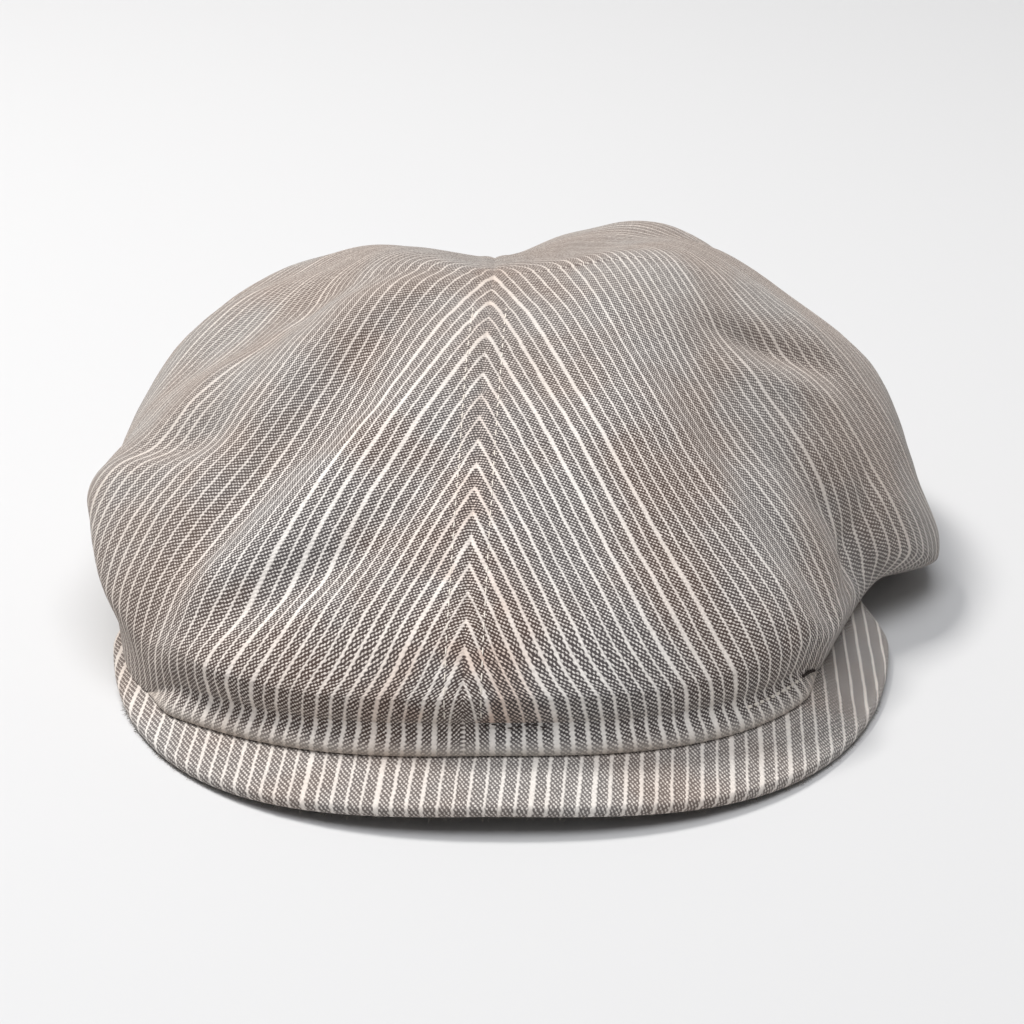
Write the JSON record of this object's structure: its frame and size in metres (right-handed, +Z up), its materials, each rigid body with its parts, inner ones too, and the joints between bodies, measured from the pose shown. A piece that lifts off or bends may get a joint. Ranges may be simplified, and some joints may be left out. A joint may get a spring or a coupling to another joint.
{
  "type": "flat cap",
  "caption": "Soft cloth cap with a low crown sewn down over a short stiff peak by a narrow band, open underneath for a head.",
  "frame": {"origin": "middle of the lowest level, on the surface that the cap rests on", "axes": "+Z up, the peak points to -Y, +X is to the right as seen from the front, which is the wearer's left"},
  "size_m": [0.227, 0.264, 0.0911],
  "materials": {
    "crown_cloth": "striped cotton in a small birdseye weave, dark grey-brown yarn with off-white dots and stripes",
    "band_cloth": "the same striped cotton, stripes upright, slightly soiled",
    "peak_cloth": "the same striped cotton drawn tight over a board, stripes from front to back"
  },
  "bodies": {
    "root": {"crown_left": "crown_cloth", "crown_right": "crown_cloth", "front_band": "band_cloth", "peak": "peak_cloth"}
  },
  "joints": []
}
